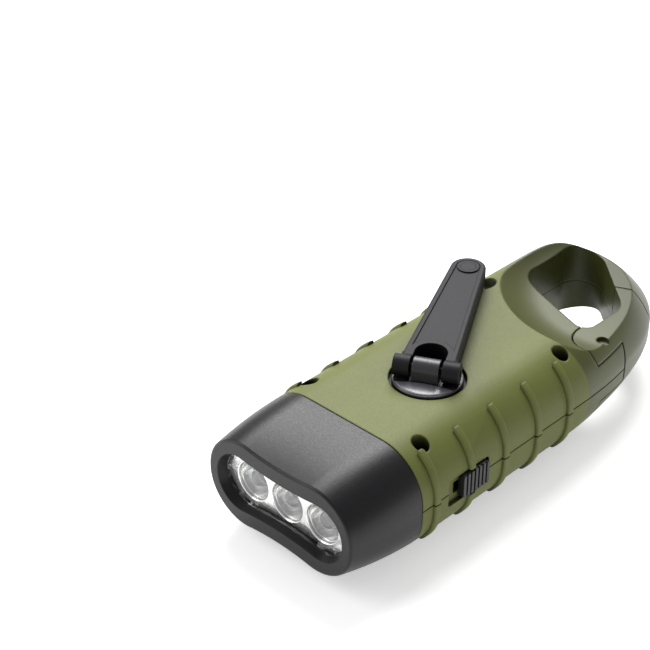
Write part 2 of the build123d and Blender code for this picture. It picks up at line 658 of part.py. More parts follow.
def make_case_screw(place, tip_z):
    screw = cyl(place, SCREW_HEAD_RADIUS, WELL_FLOOR, WELL_FLOOR + SCREW_HEAD_HEIGHT)
    screw = fillet(screw.edges().group_by(Axis.Z)[-1], 0.4)
    screw += cyl(place, SCREW_SHANK_RADIUS, tip_z, WELL_FLOOR + 0.2)
    top = WELL_FLOOR + SCREW_HEAD_HEIGHT
    screw -= Pos(place[0], place[1], top) * Box(2.4, 0.5, 1.2)
    screw -= Pos(place[0], place[1], top) * Box(0.5, 2.4, 1.2)
    return screw


def make_hub():
    """Disc in the recess of the upper shell with centre knuckle and drive shaft."""
    disc = cyl(HUB, DISC_RADIUS, RECESS_FLOOR + FIT_GAP, DISC_TOP)
    disc = fillet(disc.edges().group_by(Axis.Z)[-1], 0.35)
    half = KNUCKLE_WIDTH / 2 - KNUCKLE_GAP
    web = Pos(0, 0, (DISC_TOP + HINGE_Z) / 2 - 0.3) * Box(2 * half, 2 * BARREL_RADIUS, HINGE_Z - DISC_TOP + 0.6)
    knuckle = Pos(0, 0, HINGE_Z) * Rot(0, 90, 0) * Cylinder(BARREL_RADIUS, 2 * half)
    hub = disc + at_hinge(web) + at_hinge(knuckle)
    hub += cyl(HUB, SHAFT_RADIUS, DRIVE_Z + DRIVE_FACE + FIT_GAP, RECESS_FLOOR + 0.5)
    drive_end = cyl(HUB, SHAFT_RADIUS, DRIVE_Z, DRIVE_Z + DRIVE_FACE + 0.5)
    drive_end &= block(HUB_X - 5, HUB_X + 5, HUB_Y - SHAFT_FLAT, HUB_Y + SHAFT_FLAT, 0, 30)
    hub += drive_end
    hub -= at_hinge(Pos(0, 0, HINGE_Z) * Rot(0, 90, 0) * Cylinder(HINGE_PIN_RADIUS + PRESS_GAP, 40))
    hub -= cyl(HUB, SMALL_SCREW_RADIUS + PRESS_GAP, 0, RECESS_FLOOR - 2)
    return hub


def arm_outline(inset):
    """Tapered plan of the arm along +Y from the hinge line, round at the tip."""
    tip = ARM_REACH - ARM_TIP_RADIUS
    lean = asin((ARM_BASE_HALF - ARM_TIP_RADIUS) / tip)
    base = ARM_BASE_HALF - inset
    radius = ARM_TIP_RADIUS - inset
    x = radius * cos(lean)
    y = tip + radius * sin(lean)
    start = 1.6 + inset
    return make_face([
        Line((-base, start), (base, start)),
        Line((base, start), (x, y)),
        ThreePointArc((x, y), (0, tip + radius), (-x, y)),
        Line((-x, y), (-base, start)),
    ])


def arm_notch(grow):
    half = NOTCH_HALF + grow
    reach = NOTCH_REACH + grow
    return make_face([
        Line((-half, -4), (half, -4)),
        Line((half, -4), (half, reach - half)),
        ThreePointArc((half, reach - half), (0, reach), (-half, reach - half)),
        Line((-half, reach - half), (-half, -4)),
    ])


def make_arm():
    """Crank arm: hollow underneath, raised rim round the top, arch at the hinge."""
    body = prism(arm_outline(0), ARM_BOTTOM, ARM_TOP)
    body = fillet(body.edges().group_by(Axis.Z)[-1], 0.6)
    body -= prism(arm_outline(ARM_RIM) - arm_notch(ARM_RIM), ARM_BOTTOM - 1, ARM_TOP - ARM_SKIN)
    body -= prism(arm_notch(0), 0, 50)
    land = arm_outline(1.5) - arm_notch(1.5)
    body -= prism(land, ARM_TOP - 0.35, ARM_TOP + 1)
    barrel = Pos(0, 0, HINGE_Z) * Rot(0, 90, 0) * Cylinder(BARREL_RADIUS, BARREL_LENGTH)
    barrel += Pos(0, 1.6, HINGE_Z) * Box(2 * ARM_BASE_HALF, 3.2, 2 * (ARM_TOP - HINGE_Z) - 0.4)
    barrel -= Pos(0, 0, HINGE_Z) * Box(KNUCKLE_WIDTH, 20, 20)
    barrel -= prism(arm_notch(0), 0, 50)
    body += barrel
    body -= Pos(0, 0, HINGE_Z) * Rot(0, 90, 0) * Cylinder(HINGE_PIN_RADIUS + RUN_GAP, 40)
    knob = (0, KNOB_REACH)
    body += cyl(knob, RIVET_HEAD_RADIUS + 0.9, KNOB_TOP + FIT_GAP, ARM_TOP)
    body -= cyl(knob, RIVET_RADIUS + PRESS_GAP, 0, 50)
    body -= cyl(knob, RIVET_HEAD_RADIUS + PRESS_GAP, ARM_TOP - 0.6, 50)
    return at_hinge(body)


def make_hinge_pin():
    pin = Pos(0, 0, HINGE_Z) * Rot(0, 90, 0) * Cylinder(HINGE_PIN_RADIUS, BARREL_LENGTH - 1.0)
    return at_hinge(chamfer(pin.edges(), 0.2))


def make_knob():
    """Low round finger knob, crowned below, hollow for the rivet."""
    knob = cyl(KNOB_AT, KNOB_RADIUS, KNOB_BOTTOM, KNOB_TOP)
    knob = fillet(knob.edges().group_by(Axis.Z)[0], 0.9)
    knob -= cyl(KNOB_AT, RIVET_RADIUS + RUN_GAP, 0, 50)
    knob -= cyl(KNOB_AT, RIVET_RADIUS + 0.75, 0, KNOB_BOTTOM + 0.9)
    return knob


def make_rivet():
    rivet = cyl(KNOB_AT, RIVET_RADIUS, KNOB_BOTTOM + 0.4, ARM_TOP - 0.3)
    rivet += cyl(KNOB_AT, RIVET_HEAD_RADIUS, ARM_TOP - 0.6, ARM_TOP)
    rivet += cyl(KNOB_AT, RIVET_RADIUS + 0.5, KNOB_BOTTOM + 0.15, KNOB_BOTTOM + 0.8)
    return rivet


def involute(angle):
    return tan(angle) - angle


def gear_face(teeth, center, phase):
    """Toothed wheel outline with involute flanks, one tooth centred on the phase angle."""
    pitch = MODULE * teeth / 2
    base = pitch * cos(radians(PRESSURE_ANGLE))
    tip = pitch + ADDENDUM * MODULE
    root = pitch - DEDENDUM * MODULE
    half = TOOTH_SHARE * pi / (2 * teeth) + involute(radians(PRESSURE_ANGLE))
    start = max(base, root + 0.01)
    radii = [root, start, (start + tip) / 2, tip]
    points = []
    for tooth in range(teeth):
        middle = phase + 2 * pi * tooth / teeth
        spread = [half - (involute(acos(min(1.0, base / r))) if r > base else 0.0) for r in radii]
        flank = [(r, middle - s) for r, s in zip(radii, spread)]
        flank += [(r, middle + s) for r, s in zip(reversed(radii), reversed(spread))]
        points += [(center[0] + r * cos(a), center[1] + r * sin(a)) for r, a in flank]
    return make_face(Polyline(*points, close=True))


def mate_phase(teeth, phase, mate_teeth, direction):
    """Phase of the mating wheel whose tooth gap meets a tooth on the line of centres."""
    share = (direction - phase) / (2 * pi / teeth)
    return direction + pi - (0.5 - share) * 2 * pi / mate_teeth


def gear(teeth, center, phase, z0, z1):
    return prism(gear_face(teeth, center, phase), z0, z1)


PHASE_1 = mate_phase(DRIVE_TEETH, 0.0, PINION_TEETH, radians(FIRST_ANGLE))
PHASE_2 = mate_phase(FIRST_TEETH, 0.0, PINION_TEETH, radians(SECOND_ANGLE))
PHASE_3 = mate_phase(SECOND_TEETH, 0.0, PINION_TEETH, radians(ROTOR_ANGLE))


def make_drive_gear():
    wheel = gear(DRIVE_TEETH, HUB, 0.0, DRIVE_Z, DRIVE_Z + DRIVE_FACE)
    web = ring(HUB, drive_radius - 2.2, 5.2, DRIVE_Z - 1, DRIVE_Z + 0.8)
    bore = cyl(HUB, SHAFT_RADIUS + PRESS_GAP, 0, 50)
    bore &= block(HUB_X - 5, HUB_X + 5, HUB_Y - SHAFT_FLAT - PRESS_GAP, HUB_Y + SHAFT_FLAT + PRESS_GAP, 0, 50)
    return wheel - web - bore


def make_idler(center, wheel_teeth, wheel_z, pinion_phase, pinion_top):
    wheel = gear(wheel_teeth, center, 0.0, wheel_z, wheel_z + GEAR_FACE)
    wheel += gear(PINION_TEETH, center, pinion_phase, wheel_z + GEAR_FACE - 0.1, pinion_top)
    wheel += cyl(center, 2.0, PLATE_TOP + FIT_GAP, wheel_z + 0.1)
    return wheel - cyl(center, AXLE_RADIUS + RUN_GAP, 0, 50)


def make_axles():
    return [cyl(AXLE_1, AXLE_RADIUS, PLATE_Z + 0.1, 24.8), cyl(AXLE_2, AXLE_RADIUS, PLATE_Z + 0.1, 24.8)]


def make_gear_plate():
    """Flat plate that carries the axles, screwed to posts of the upper shell."""
    corners = [(-19.93, 27.3), (-19.93, -7.7), (-0.73, -7.7), (19.07, -0.5),
               (19.07, 13.1), (9.27, 19.1), (-0.73, 27.3)]
    face = make_face(Polyline(*[(HUB_X + x, HUB_Y + y) for x, y in corners], close=True))
    face = fillet(face.vertices(), 2.4)
    plate = prism(face, PLATE_Z, PLATE_TOP)
    plate -= cyl(ROTOR, 2.6, 0, 50)
    for place in (AXLE_1, AXLE_2):
        plate -= cyl(place, AXLE_RADIUS + PRESS_GAP, 0, 50)
    for post in POSTS:
        plate -= cyl(post, SMALL_SCREW_RADIUS + FIT_GAP, 0, 50)
    return plate


def make_plate_screws():
    screws = []
    for post in POSTS:
        screw = cyl(post, SMALL_SCREW_RADIUS, PLATE_Z - 0.2, 16.5) + cyl(post, 1.8, PLATE_Z - 1.2, PLATE_Z)
        screw -= Pos(post[0], post[1], PLATE_Z - 1.2) * Box(2.2, 0.45, 1.2)
        screws.append(screw)
    return screws


def make_hub_screw():
    screw = cyl(HUB, SMALL_SCREW_RADIUS, DRIVE_Z - 0.6, 25.6)
    screw += cyl(HUB, 1.8, DRIVE_Z - 1.7, DRIVE_Z - 0.6)
    return screw - Pos(HUB_X, HUB_Y, DRIVE_Z - 1.7) * Box(2.4, 0.5, 1.2)


def make_hub_washer():
    return ring(HUB, 3.6, SMALL_SCREW_RADIUS + FIT_GAP, DRIVE_Z - 0.6, DRIVE_Z)


def make_rotor_pinion():
    pinion = gear(PINION_TEETH, ROTOR, PHASE_3, SECOND_Z - 0.2, SECOND_Z + GEAR_FACE + 0.2)
    pinion += cyl(ROTOR, 1.9, STATOR_Z + 5.9, SECOND_Z)
    return pinion - cyl(ROTOR, ROTOR_SHAFT_RADIUS + PRESS_GAP, 0, 50)


def make_rotor_magnet():
    magnet = cyl(ROTOR, MAGNET_RADIUS, STATOR_Z + 1.4, STATOR_Z + 5.9)
    magnet = chamfer(magnet.edges(), 0.3)
    return magnet - cyl(ROTOR, ROTOR_SHAFT_RADIUS + PRESS_GAP, 0, 50)


def make_rotor_shaft():
    return cyl(ROTOR, ROTOR_SHAFT_RADIUS, STATOR_Z + 0.05, SECOND_Z + GEAR_FACE + 0.4)


def claw_ring(z_root, z_tip, offset_angle):
    """Four pole claws standing round the magnet."""
    claws = ring(ROTOR, CLAW_OUTER, CLAW_INNER, min(z_root, z_tip), max(z_root, z_tip))
    kept = None
    for index in range(4):
        wedge = Pos(ROTOR[0], ROTOR[1], 0) * Rot(0, 0, offset_angle + 90 * index) * Pos(5, 0, 6) * Box(10, 4.2, 20)
        piece = claws & wedge
        kept = piece if kept is None else kept + piece
    return kept


def make_stator_cups():
    top = PLATE_Z
    split = (STATOR_Z + top) / 2
    lower = cyl(ROTOR, STATOR_RADIUS, STATOR_Z, split) - cyl(ROTOR, STATOR_RADIUS - 0.7, STATOR_Z + STATOR_SKIN, 20)
    lower += claw_ring(STATOR_Z + 0.4, top - 1.4, 0)
    lower -= cyl(ROTOR, ROTOR_SHAFT_RADIUS + RUN_GAP, 0, 20)
    upper = cyl(ROTOR, STATOR_RADIUS, split, top) - cyl(ROTOR, STATOR_RADIUS - 0.7, 0, top - STATOR_SKIN)
    upper -= cyl(ROTOR, 2.6, 0, 20)
    upper += claw_ring(STATOR_Z + 1.4, top - 0.4, 45)
    return [lower, upper]


def make_bobbin():
    z0 = STATOR_Z + STATOR_SKIN
    z1 = PLATE_Z - STATOR_SKIN
    spool = ring(ROTOR, 7.8, CLAW_OUTER + 0.05, z0, z1)
    spool += ring(ROTOR, STATOR_RADIUS - 0.8, 7.5, z0, z0 + 0.6)
    return spool + ring(ROTOR, STATOR_RADIUS - 0.8, 7.5, z1 - 0.6, z1)


def make_coil():
    z0 = STATOR_Z + STATOR_SKIN + 0.6
    z1 = PLATE_Z - STATOR_SKIN - 0.6
    return ring(ROTOR, STATOR_RADIUS - 0.95, 7.8 + PRESS_GAP, z0, z1)


def make_cells():
    cells = []
    for index in range(CELL_COUNT):
        x = (index - (CELL_COUNT - 1) / 2) * CELL_WIDTH
        cell = Pos(x, CELL_Y, CELL_Z) * Rot(0, 90, 0) * Cylinder(CELL_RADIUS, CELL_WIDTH)
        cells.append(fillet(cell.edges(), 0.5))
    return cells


def make_cell_tabs():
    end = CELL_COUNT * CELL_WIDTH / 2
    tabs = []
    for side in (-1, 1):
        x0, x1 = sorted((side * end, side * (end + 0.25)))
        tab = block(x0, x1, CELL_Y - 2.0, CELL_Y + 2.0, CELL_Z - 4.0, CELL_Z + 7.0)
        tabs.append(fillet(tab.edges().filter_by(Axis.X), 1.0))
    return tabs


def make_control_board():
    """Control board with capacitor, four diodes and a driver chip."""
    z1 = CONTROL_Z + BOARD_THICKNESS
    board = block(CONTROL_LEFT, CONTROL_RIGHT, CONTROL_FRONT, CONTROL_REAR, CONTROL_Z, z1)
    board += Pos(CONTROL_LEFT + 4.4, CONTROL_FRONT + 4.4, z1 + 2.0) * Cylinder(2.6, 4.2)
    for index in range(4):
        board += Pos(CONTROL_LEFT + 10.4 + 2.6 * index, CONTROL_FRONT + 3.4, z1 + 0.6) * Box(1.5, 3.6, 1.4)
    board += Pos(CONTROL_LEFT + 14.4, CONTROL_FRONT + 9.0, z1 + 0.6) * Box(6.0, 3.8, 1.4)
    return board


def make_switch_body():
    y0 = SWITCH_Y - 6.2
    y1 = SWITCH_Y + 2.2
    body = block(SWITCH_INNER_X, SWITCH_OUTER_X, y0, y1, CAP_BOTTOM + 0.2, CAP_TOP)
    body = fillet(body.edges().filter_by(Axis.Y), 0.5)
    return body - block(SWITCH_INNER_X + 2.0, 30, y0 + 0.2, y1 - 0.2,
                        STEM_Z - STEM_HEIGHT / 2 - 0.3, STEM_Z + STEM_HEIGHT / 2 + 0.3)


def make_switch_knob():
    """Slide button: ribbed cap, stem through the slot."""
    cap = block(HALF_WIDTH - RECESS_DEPTH + 0.1, CAP_OUT, SWITCH_Y - CAP_LENGTH / 2, SWITCH_Y + CAP_LENGTH / 2,
                CAP_BOTTOM, CAP_TOP)
    cap = fillet(cap.edges().filter_by(Axis.X), 0.7)
    for index in range(6):
        y = SWITCH_Y - CAP_LENGTH / 2 + 1.2 + index * 1.4
        cap -= block(CAP_OUT - 0.7, 40, y - 0.3, y + 0.3, CAP_BOTTOM - 1, CAP_TOP + 1)
    stem = block(STEM_START_X, HALF_WIDTH - 0.8, SWITCH_Y - STEM_LENGTH / 2, SWITCH_Y + STEM_LENGTH / 2,
                 STEM_Z - STEM_HEIGHT / 2, STEM_Z + STEM_HEIGHT / 2)
    return cap + stem


def make_gate_pin():
    pin = cyl((PIN_X, PIN_Y), PIN_RADIUS, LOOP_BOTTOM + 1.6, LOOP_TOP - 1.6)
    return chamfer(pin.edges(), 0.2)


def save(name, shape):
    whole = Compound(children=shape) if isinstance(shape, list) else shape
    export_step(whole, f"parts/{name}.step")


def main():
    os.makedirs("parts", exist_ok=True)
    outer = outer_body()
    save("upper_shell", make_upper_shell(outer))
    save("lower_shell", make_lower_shell(outer))
    save("gate", make_gate())
    save("gate_pin", make_gate_pin())
    save("lamp_head", make_head())
    save("lens_cover", make_lens())
    save("reflector", make_reflector())
    save("leds", make_leds())
    save("led_board", make_led_board())
    save("board_screws", make_board_screws())
    save("case_screws", [make_case_screw(place, SCREW_TIP_Z) for place in CASE_SCREWS])
    save("loop_screw", make_case_screw(LOOP_SCREW, LOOP_SCREW_TIP_Z))
    save("crank_hub", make_hub())
    save("crank_arm", make_arm())
    save("crank_hinge_pin", make_hinge_pin())
    save("crank_knob", make_knob())
    save("knob_rivet", make_rivet())
    save("drive_gear", make_drive_gear())
    save("hub_screw", make_hub_screw())
    save("hub_washer", make_hub_washer())
    save("idler_gear_one", make_idler(AXLE_1, FIRST_TEETH, FIRST_Z, PHASE_1, DRIVE_Z + DRIVE_FACE + 0.2))
    save("idler_gear_two", make_idler(AXLE_2, SECOND_TEETH, SECOND_Z, PHASE_2, FIRST_Z + GEAR_FACE + 0.2))
    save("idler_axles", make_axles())
    save("gear_plate", make_gear_plate())
    save("plate_screws", make_plate_screws())
    save("rotor_pinion", make_rotor_pinion())
    save("rotor_magnet", make_rotor_magnet())
    save("rotor_shaft", make_rotor_shaft())
    save("stator_cups", make_stator_cups())
    save("coil_bobbin", make_bobbin())
    save("coil_winding", make_coil())
    save("battery_cells", make_cells())
    save("cell_tabs", make_cell_tabs())
    save("control_board", make_control_board())
    save("switch_body", make_switch_body())
    save("switch_knob", make_switch_knob())


main()
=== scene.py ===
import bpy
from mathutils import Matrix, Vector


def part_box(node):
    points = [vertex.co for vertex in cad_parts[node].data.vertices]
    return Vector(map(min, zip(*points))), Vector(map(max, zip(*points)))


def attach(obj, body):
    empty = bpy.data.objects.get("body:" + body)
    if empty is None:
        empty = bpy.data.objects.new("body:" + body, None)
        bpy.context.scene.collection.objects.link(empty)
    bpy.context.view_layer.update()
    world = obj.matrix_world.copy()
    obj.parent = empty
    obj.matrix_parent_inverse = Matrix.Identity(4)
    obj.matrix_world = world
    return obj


bl_info = {
    "name": "Hand Crank Flashlight",
    "version": (1, 0, 0),
    "blender": (4, 5, 0),
    "location": "3D View > Sidebar > Flashlight",
    "description": "Dresses the hand crank flashlight with its plastics, optics, inner parts and studio",
    "category": "Object",
}

import math

import bpy
from mathutils import Vector

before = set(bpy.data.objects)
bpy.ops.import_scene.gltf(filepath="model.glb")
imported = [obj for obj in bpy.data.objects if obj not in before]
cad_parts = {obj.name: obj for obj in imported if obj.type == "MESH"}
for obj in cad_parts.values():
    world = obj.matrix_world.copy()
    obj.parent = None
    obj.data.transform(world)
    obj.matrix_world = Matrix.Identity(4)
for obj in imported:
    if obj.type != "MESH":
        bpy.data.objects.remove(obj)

# Dish round the loop's hole, with painted shade inside it, and the tail, where painted shade darkens the
# olive towards the loop, in metres
DISH_CENTRE = (0.013, 0.0473, 0.0)
DISH_RADIUS = 0.0337
DISH_EDGE = 0.0006
TAIL_SHADE_START = 0.028
TAIL_SHADE_END = 0.046

# Apron on the crank disc, in front of the hinge
CRANK_ANGLE = math.radians(28)
DISC_TOP = 0.0299
APRON_RADIUS = 0.0086
APRON_CREST = 0.0036
APRON_RISE = 0.0008
APRON_FORWARD = 0.0042

# Rims and steps of the lamp cups, and the chips in the LEDs
RIM_DEPTH = 0.00034
RIM_RADIUS = 0.0053
RIM_THICKNESS = 0.00032
STEP_DEPTH = 0.0011
STEP_RADIUS = 0.0049
STEP_THICKNESS = 0.00022
CHIP_FORWARD = 0.00062

# Lamps and camera
KEY_PLACE = (-0.40, 0.42, 0.70)
KEY_AIM = (0, 0.0, 0.02)
KEY_SIZE = 0.62
FILL_PLACE = (-0.55, -0.45, 0.4)
FILL_AIM = (0, -0.05, 0.01)
FILL_SIZE = 0.6
CAMERA_PLACE = (0.2206, -0.2808, 0.2614)
CAMERA_AIM = (-0.0640, 0.0115, 0.0)
CAMERA_LENS = 92.87


# ---------------------------------------------------------------- colours

def linear(hex_colour):
    """Scene-linear RGBA of an sRGB hex colour."""
    values = []
    for start in (0, 2, 4):
        c = int(hex_colour[start:start + 2], 16) / 255
        values.append(c / 12.92 if c <= 0.04045 else ((c + 0.055) / 1.055) ** 2.4)
    return (*values, 1.0)


# ---------------------------------------------------------------- settings

class FlashlightPlastics(bpy.types.PropertyGroup):
    olive: bpy.props.FloatVectorProperty(
        name="Olive shell", description="Colour of the moulded body shells and gate",
        subtype="COLOR", size=4, min=0, max=1, default=linear("6A7033"))
    head_black: bpy.props.FloatVectorProperty(
        name="Head black", description="Colour of the lamp head",
        subtype="COLOR", size=4, min=0, max=1, default=linear("131316"))
    # Charcoal of the crank arm, knob and rivet; the hub takes a lighter copy of it as painted sheen
    crank_grey: bpy.props.FloatVectorProperty(
        name="Crank grey", description="Colour of the crank arm, hub and knob",
        subtype="COLOR", size=4, min=0, max=1, default=linear("1D1D21"))
    # Lighter copy of the crank charcoal: painted sheen on the hub and its knuckles
    hub_painted_sheen_grey: bpy.props.FloatVectorProperty(
        name="Hub grey", description="Colour of the crank hub and its knuckle",
        subtype="COLOR", size=4, min=0, max=1, default=linear("2F2F33"))
    # The apron's pale grey is a painted sheen, on top of its real polish
    painted_sheen_grey: bpy.props.FloatVectorProperty(
        name="Apron grey", description="Colour of the polished apron in front of the hinge",
        subtype="COLOR", size=4, min=0, max=1, default=linear("74747A"))
    grain: bpy.props.FloatProperty(
        name="Mould grain", description="Spacing of the fine sparked texture on the plastics",
        subtype="DISTANCE", unit="LENGTH", min=0.0001, max=0.002, default=0.00035)


class FlashlightOptics(bpy.types.PropertyGroup):
    chip_width: bpy.props.FloatProperty(
        name="Chip width", description="Width of the phosphor square inside each LED",
        subtype="DISTANCE", unit="LENGTH", min=0.0005, max=0.003, default=0.0011)
    cup_width: bpy.props.FloatProperty(
        name="Lead cup width", description="Width of the metal cup that carries the chip",
        subtype="DISTANCE", unit="LENGTH", min=0.001, max=0.004, default=0.0040)


class FlashlightStudio(bpy.types.PropertyGroup):
    key_power: bpy.props.FloatProperty(
        name="Key power", description="Power of the large soft lamp above and behind",
        subtype="POWER", unit="POWER", min=0, max=200, default=9.5)
    fill_power: bpy.props.FloatProperty(
        name="Fill power", description="Power of the soft lamp at the front left",
        subtype="POWER", unit="POWER", min=0, max=200, default=2.6)
    sky_level: bpy.props.FloatProperty(
        name="Sky level", description="Strength of the even light from all round",
        min=0, max=2, default=0.4)
    floor_size: bpy.props.FloatProperty(
        name="Floor size", description="Side of the pale floor sheet",
        subtype="DISTANCE", unit="LENGTH", min=1, max=20, default=6.0)


# ---------------------------------------------------------------- node helpers

def add_node(tree, kind, inputs=None, **settings):
    """Adds one shader node, with its settings and its input values or links."""
    node = tree.nodes.new(kind)
    for name, value in settings.items():
        setattr(node, name, value)
    for name, value in (inputs or {}).items():
        if isinstance(value, bpy.types.NodeSocket):
            tree.links.new(value, node.inputs[name])
        else:
            node.inputs[name].default_value = value
    return node


def empty_material(name):
    """Material whose node tree holds nothing yet."""
    material = bpy.data.materials.new(name)
    material.use_nodes = True
    material.node_tree.nodes.clear()
    return material, material.node_tree


def new_material(name):
    """Empty material with a principled shader on its output."""
    material, tree = empty_material(name)
    shader = add_node(tree, "ShaderNodeBsdfPrincipled")
    add_node(tree, "ShaderNodeOutputMaterial", {"Surface": shader.outputs["BSDF"]})
    place = add_node(tree, "ShaderNodeTexCoord").outputs["Object"]
    return material, tree, shader, place


def noise(tree, place, scale, detail=3.0, rough=0.5):
    """Grey noise pattern, with its scale in cells to the metre."""
    return add_node(tree, "ShaderNodeTexNoise",
                    {"Vector": place, "Scale": scale, "Detail": detail, "Roughness": rough}).outputs["Fac"]


def ramp(tree, fac, stops):
    """Colour ramp from (position, colour) pairs."""
    node = add_node(tree, "ShaderNodeValToRGB", {"Fac": fac})
    elements = node.color_ramp.elements
    elements[0].position, elements[0].color = stops[0]
    elements[1].position, elements[1].color = stops[-1]
    for position, colour in stops[1:-1]:
        elements.new(position).color = colour
    return node.outputs["Color"]


def fade(tree, value, start, end, low, high):
    """Value that runs from low to high while another runs from start to end."""
    return add_node(tree, "ShaderNodeMapRange",
                    {"Value": value, "From Min": start, "From Max": end,
                     "To Min": low, "To Max": high}).outputs["Result"]


def spread(tree, fac, low, high):
    """Widens the middle of a noise pattern to the range from low to high."""
    return fade(tree, fac, 0.3, 0.7, low, high)


def bump(tree, shader, height, distance):
    """Fine relief on a shader, with its depth in metres."""
    node = add_node(tree, "ShaderNodeBump", {"Height": height, "Distance": distance, "Strength": 1.0})
    tree.links.new(node.outputs["Normal"], shader.inputs["Normal"])


def shade(colour, factor):
    """Lighter or darker share of a colour."""
    return (*[min(1.0, c * factor) for c in colour[:3]], 1.0)


def clouded(tree, pattern, colour, dark, light):
    """Colour that drifts between a darker and a lighter share of itself."""
    return ramp(tree, pattern, [(0.3, shade(colour, dark)), (0.7, shade(colour, light))])


# ---------------------------------------------------------------- materials

def moulded_plastic(name, colour, grain, low, high, depth, level=0.5):
    """Injection moulded plastic: faint flow clouds, and a sparked grain that breaks the highlight."""
    material, tree, shader, place = new_material(name)
    clouds = noise(tree, place, 45.0, 2.0)
    tint = clouded(tree, clouds, colour, 0.94, 1.06)
    # Painted shade darkens the colour in wells and grooves
    tree.links.new(painted_cavity_shade(tree, tint), shader.inputs["Base Color"])
    fine = noise(tree, place, 1.0 / grain, 2.0, 0.6)
    tree.links.new(spread(tree, fine, low, high), shader.inputs["Roughness"])
    shader.inputs["Specular IOR Level"].default_value = level
    rounded = add_node(tree, "ShaderNodeBevel", {"Radius": 0.0003}, samples=4).outputs["Normal"]
    relief = add_node(tree, "ShaderNodeBump", {"Height": fine, "Distance": depth, "Normal": rounded})
    tree.links.new(relief.outputs["Normal"], shader.inputs["Normal"])
    return material


def painted_cavity_shade(tree, tint):
    """Paints shade into a colour in wells and grooves: the less sky a point sees, the darker its colour."""
    open_sky = add_node(tree, "ShaderNodeAmbientOcclusion", {"Distance": 0.009}, samples=8).outputs["AO"]
    # Painted shade: full colour in the open, down to a twentieth of it deep in the wells
    depth = fade(tree, open_sky, 0.18, 0.82, 0.05, 1.0)
    mix = add_node(tree, "ShaderNodeMix", data_type="RGBA", blend_type="MULTIPLY")
    mix.inputs[0].default_value = 1.0
    tree.links.new(tint, mix.inputs[6])
    tree.links.new(depth, mix.inputs[7])
    return mix.outputs[2]


def shell_plastic(colour, grain):
    """Olive shell plastic: matt sparked grain on the grip; smooth in the dish and the loop, where painted
    shade darkens it.
    """
    material, tree, shader, place = new_material("olive moulded plastic")
    clouds = noise(tree, place, 45.0, 2.0)
    tint = clouded(tree, clouds, colour, 0.94, 1.06)
    # Painted shade: the olive at about half its brightness inside the dish
    deep = clouded(tree, clouds, colour, 0.48, 0.54)
    flat = add_node(tree, "ShaderNodeVectorMath", {0: place, 1: (1, 1, 0)},
                    operation="MULTIPLY").outputs["Vector"]
    reach = add_node(tree, "ShaderNodeVectorMath", {0: flat, 1: DISH_CENTRE},
                     operation="DISTANCE").outputs["Value"]
    grip = fade(tree, reach, DISH_RADIUS - DISH_EDGE, DISH_RADIUS, 0.0, 1.0)
    # Painted shade inside the dish, the plain olive on the grip
    skin = add_node(tree, "ShaderNodeMix", data_type="RGBA")
    for socket, value in ((0, grip), (6, deep), (7, tint)):
        tree.links.new(value, skin.inputs[socket])
    along = add_node(tree, "ShaderNodeSeparateXYZ", {"Vector": place}).outputs["Y"]
    # Painted shade: the olive falls to two thirds of its brightness towards the loop
    tail_shade_factor = fade(tree, along, TAIL_SHADE_START, TAIL_SHADE_END, 1.0, 0.68)
    tail_shaded = add_node(tree, "ShaderNodeVectorMath", {0: skin.outputs[2]}, operation="SCALE")
    tree.links.new(tail_shade_factor, tail_shaded.inputs["Scale"])
    # Painted shade also darkens the olive in wells and grooves
    tree.links.new(painted_cavity_shade(tree, tail_shaded.outputs["Vector"]), shader.inputs["Base Color"])
    fine = noise(tree, place, 1.0 / grain, 2.0, 0.6)
    matt = spread(tree, fine, 0.5, 0.62)
    polished = add_node(tree, "ShaderNodeMix", {0: grip, 2: 0.4, 3: matt}, data_type="FLOAT").outputs[0]
    tree.links.new(polished, shader.inputs["Roughness"])
    shader.inputs["Specular IOR Level"].default_value = 0.42
    rounded = add_node(tree, "ShaderNodeBevel", {"Radius": 0.0007}, samples=6).outputs["Normal"]
    relief = add_node(tree, "ShaderNodeBump",
                      {"Height": fine, "Distance": 0.00005, "Strength": grip, "Normal": rounded})
    tree.links.new(relief.outputs["Normal"], shader.inputs["Normal"])
    return material


def metallised_reflector():
    """Vacuum metallised plastic: bright and a little soft, with the slight orange peel of its lacquer."""
    material, tree, shader, place = new_material("metallised reflector")
    shader.inputs["Metallic"].default_value = 1.0
    shader.inputs["Base Color"].default_value = linear("F6F6F5")
    peel = noise(tree, place, 1100.0, 3.0, 0.6)
    tree.links.new(spread(tree, peel, 0.1, 0.24), shader.inputs["Roughness"])
    bump(tree, shader, peel, 0.00004)
    return material


def clear_styrene():
    """Clear window: see-through with a thin sharp reflection and a trace of moulding ripple."""
    material, tree = empty_material("clear styrene window")
    clear = add_node(tree, "ShaderNodeBsdfTransparent", {"Color": linear("FCFCFC")})
    place = add_node(tree, "ShaderNodeTexCoord").outputs["Object"]
    ripple = noise(tree, place, 120.0, 2.0)
    relief = add_node(tree, "ShaderNodeBump", {"Height": ripple, "Distance": 0.00002})
    gloss = add_node(tree, "ShaderNodeBsdfGlossy", {"Roughness": 0.04, "Normal": relief.outputs["Normal"]})
    facing = add_node(tree, "ShaderNodeLayerWeight", {"Blend": 0.5}).outputs["Facing"]
    steep = add_node(tree, "ShaderNodeMath", {0: facing, 1: 5.0}, operation="POWER").outputs["Value"]
    share = add_node(tree, "ShaderNodeMath", {0: steep, 1: 0.6, 2: 0.03},
                     operation="MULTIPLY_ADD").outputs["Value"]
    mix = add_node(tree, "ShaderNodeMixShader",
                   {"Fac": share, 1: clear.outputs["BSDF"], 2: gloss.outputs["BSDF"]})
    add_node(tree, "ShaderNodeOutputMaterial", {"Surface": mix.outputs["Shader"]})
    return material


